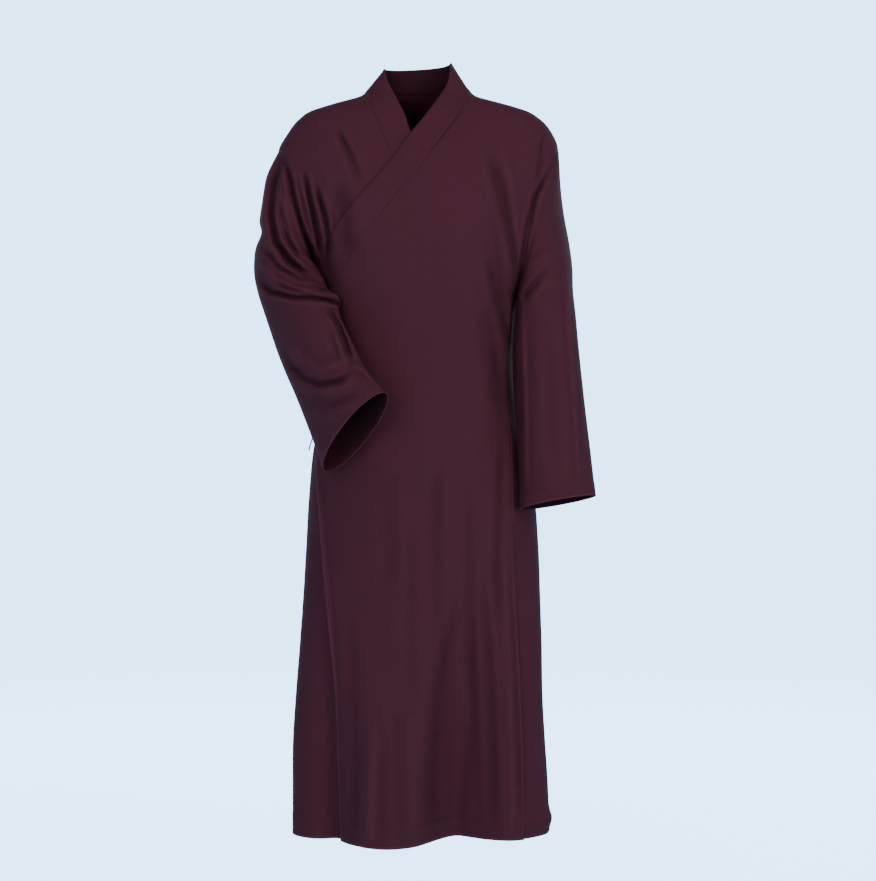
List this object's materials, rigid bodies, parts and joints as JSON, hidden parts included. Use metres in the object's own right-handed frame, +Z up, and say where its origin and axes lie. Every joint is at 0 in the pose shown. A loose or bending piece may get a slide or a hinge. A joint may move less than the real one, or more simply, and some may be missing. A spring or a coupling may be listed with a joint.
{
  "type": "buddhist monk robe",
  "caption": "Long hollow robe with a crossed collar band, overlapping fronts, side slits, wide sleeves and ties under one arm.",
  "frame": {"origin": "middle of the shoulder line at the neck, where the wearer's shoulders hold the robe", "axes": "+Z up, -Y out of the robe's front, +X towards the wearer's left sleeve"},
  "size_m": [0.5985, 0.3945, 1.3673],
  "materials": {
    "cloth": "matte plain weave, dark maroon",
    "cloth_inner": "matte plain weave, dark maroon in shade"
  },
  "bodies": {
    "root": {"back": "cloth", "front_outer": "cloth", "front_inner": "cloth_inner", "sleeve_left": "cloth", "sleeve_right": "cloth", "collar": "cloth", "tie_front": "cloth_inner", "tie_side": "cloth_inner"}
  },
  "joints": []
}
